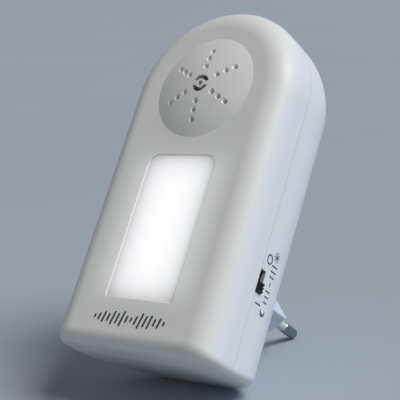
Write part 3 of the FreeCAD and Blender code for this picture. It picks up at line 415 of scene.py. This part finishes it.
def disc(middle, radius, rings=3, count=24):
    """A filled round spot made of rings of faces."""
    points = [middle]
    faces = []
    for ring in range(1, rings + 1):
        points += arc(middle, radius * ring / rings, count=count)[:-1]
        here = 1 + (ring - 1) * count
        for i in range(count):
            j = (i + 1) % count
            if ring == 1:
                faces.append((0, here + i, here + j))
            else:
                faces.append((here - count + i, here + i, here + j, here - count + j))
    return points, faces


def crescent(middle, radius, steps=24):
    """A filled crescent between an outer and an inner arc that share their ends."""
    outer = arc(middle, radius, 145, 395, steps)
    inner_middle = middle + Vector((0, radius * 0.45))
    reach = outer[0] - inner_middle
    turn = math.degrees(math.atan2(reach.y, reach.x))
    inner = arc(inner_middle, reach.length, turn, 540 - turn, steps)
    points = outer + inner[1:-1]
    faces = []
    for i in range(steps):
        near_side = i if i == 0 else steps + i
        far_side = i + 1 if i + 1 == steps else steps + i + 1
        faces.append(tuple(dict.fromkeys((i, i + 1, far_side, near_side))))
    return points, faces


def lay(name, shapes, surface, start_of, direction, material):
    """Lay flat shapes on a node's surface: each point is dropped on it along the direction."""
    mesh = nodes[surface].data
    skin = BVHTree.FromPolygons([v.co for v in mesh.vertices], [tuple(p.vertices) for p in mesh.polygons])
    points, faces = [], []
    for shape_points, shape_faces in shapes:
        faces += [tuple(len(points) + i for i in face) for face in shape_faces]
        for point in shape_points:
            hit, normal, _, _ = skin.ray_cast(start_of(point), direction)
            points.append(hit + normal * INK_LIFT)
    print_mesh = bpy.data.meshes.new(name)
    print_mesh.from_pydata(points, [], faces)
    print_mesh.update()
    print_mesh.materials.append(material)
    piece = bpy.data.objects.new(name, print_mesh)
    scene.collection.objects.link(piece)
    thick = piece.modifiers.new("thickness", "SOLIDIFY")
    thick.thickness = INK_THICK
    thick.offset = 0
    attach(piece, "housing")


def front_mark():
    """A row of slanted bars under the window, like a meter showing the level of a sound."""
    heights = (1.4, 2.5, 3.9, 2.8, 4.8, 3.7, 5.3, 2.5, 1.6, 3.0, 5.3, 3.9, 4.6, 2.5, 3.5, 1.4)
    width, pitch, slant = 0.74 * MM, 1.95 * MM, 0.24
    ends = 0.6    # taken off a bar's height because its round ends add to it
    first = Vector((-15.6 * MM, WINDOW_LOW - 7.4 * MM))
    bars = []
    for index, height in enumerate(heights):
        half = (height - ends) * MM / 2
        centre = first + Vector((index * pitch, 0))
        reach = Vector((slant * half, half))
        bars.append(stroke([centre - reach, centre + reach], width))
    paint = ink("front_ink", (0.045, 0.05, 0.065))
    lay("front_mark", bars, "front_shell",
        lambda p: Vector((p.x, FRONT - CLEAR, p.y)), Vector((0, 1, 0)), paint)


def side_marks():
    """The switch's two states, and behind them a row from a moon to a sun for what it switches."""
    paint = ink("side_ink", (0.055, 0.075, 0.15))
    width = 0.52 * MM
    near, back = SEAM + 3.4 * MM, SEAM + 7.3 * MM
    low = SLIDER_LOW[2]
    ring, ring_radius = Vector((near, low + 12.3 * MM)), 1.5 * MM
    bar, bar_half = Vector((near, low - 3.3 * MM)), Vector((1.5 * MM, 0))
    dash, dash_half = Vector((back, low + 4.8 * MM)), Vector((0, 0.55 * MM))
    row_half = Vector((0, 9.6 * MM))
    moon, sun = dash - row_half, dash + row_half
    ray_start, ray_end = 1.2 * MM, 1.65 * MM

    def put(name, shapes):
        lay(name, shapes, "rear_shell",
            lambda p: Vector((SIDE + CLEAR, p.x, p.y)), Vector((-1, 0, 0)), paint)

    def line(middle, half):
        return stroke(finely(middle - half, middle + half), width)

    put("off_mark", [stroke(arc(ring, ring_radius)[:-1], width, closed=True)])
    put("on_mark", [line(bar, bar_half)])

    row = [crescent(moon, 1.55 * MM), disc(sun, 0.75 * MM)]
    for index in range(8):
        angle = math.radians(45 * index)
        ray = Vector((math.cos(angle), math.sin(angle)))
        row.append(stroke(finely(sun + ray * ray_start, sun + ray * ray_end), width * 0.8))
    row.append(line(dash, dash_half))
    for way in (-1, 1):
        for index in range(3):
            tick = dash + Vector((0, way * (2.5 + 1.9 * index) * MM))
            tick_half = (1.3 + 0.2 * way + 0.15 * way * (index - 1)) * MM
            row.append(line(tick, Vector((tick_half, 0))))
    put("lamp_mark", row)


# Floor and lights

FLOOR_UP = Vector((0.0, -0.642, 0.767))
FLOOR_REACH = 9.0
FLOOR_GAP = 0.1 * MM


def add_floor():
    """The plane that the foot and the pins rest on."""
    lowest = min((v.co for v in nodes["rear_shell"].data.vertices), key=lambda co: co.dot(FLOOR_UP))
    foot = Vector((0.0, lowest.y, lowest.z))
    tip = Vector((0.0, PIN_HIGH[1], -PIN_RADIUS))
    right = Vector((1, 0, 0))
    slope = (tip - foot).normalized()
    middle = foot - right.cross(slope).normalized() * FLOOR_GAP
    turns = ((-1, -1), (1, -1), (1, 1), (-1, 1))
    corners = [middle + (right * across + slope * along) * FLOOR_REACH for across, along in turns]
    mesh = bpy.data.meshes.new("floor")
    mesh.from_pydata(corners, [], [(0, 1, 2, 3)])
    mesh.update()
    mesh.materials.append(floor_surface())
    floor = bpy.data.objects.new("floor", mesh)
    scene.collection.objects.link(floor)


def add_sun(name, towards, strength, spread, colour):
    data = bpy.data.lights.new(name, "SUN")
    data.energy = strength
    data.angle = math.radians(spread)
    data.color = colour
    lamp = bpy.data.objects.new(name, data)
    scene.collection.objects.link(lamp)
    lamp.rotation_euler = Vector(towards).to_track_quat("Z", "Y").to_euler()


def add_world():
    """Soft surroundings: brighter behind the unit, dimmer on its right and overhead."""
    world = bpy.data.worlds.new("surroundings")
    scene.world = world
    world.use_nodes = True
    tree = world.node_tree
    place = tree.nodes.new("ShaderNodeTexCoord")
    split = tree.nodes.new("ShaderNodeSeparateXYZ")
    tree.links.new(place.outputs["Generated"], split.inputs[0])

    def ramp(axis, start, end, first, last):
        item = tree.nodes.new("ShaderNodeMapRange")
        item.interpolation_type = "SMOOTHSTEP"
        for name, value in (("From Min", start), ("From Max", end), ("To Min", first), ("To Max", last)):
            item.inputs[name].default_value = value
        tree.links.new(split.outputs[axis], item.inputs["Value"])
        return item.outputs["Result"]

    level = ramp("Y", -0.3, 0.9, 0.2, 0.6)
    for factor in (ramp("X", 0.1, 0.9, 1.0, 0.1), ramp("Z", 0.0, 0.9, 1.0, 0.6)):
        product = tree.nodes.new("ShaderNodeMath")
        product.operation = "MULTIPLY"
        tree.links.new(level, product.inputs[0])
        tree.links.new(factor, product.inputs[1])
        level = product.outputs[0]
    background = tree.nodes["Background"]
    background.inputs["Color"].default_value = rgb(0.96, 0.98, 1.0)
    tree.links.new(level, background.inputs["Strength"])


scene.view_settings.view_transform = "Standard"
add_camera()
finish_nodes()
soften("switch_slider", 0.12 * MM)
front_mark()
side_marks()
add_floor()
add_world()
add_sun("key", (0.624, -0.405, 0.667), 2.52, 34, (1.0, 0.995, 0.98))
add_sun("side_fill", (0.76, 0.38, 0.53), 0.52, 20, (0.02, 0.38, 1.0))
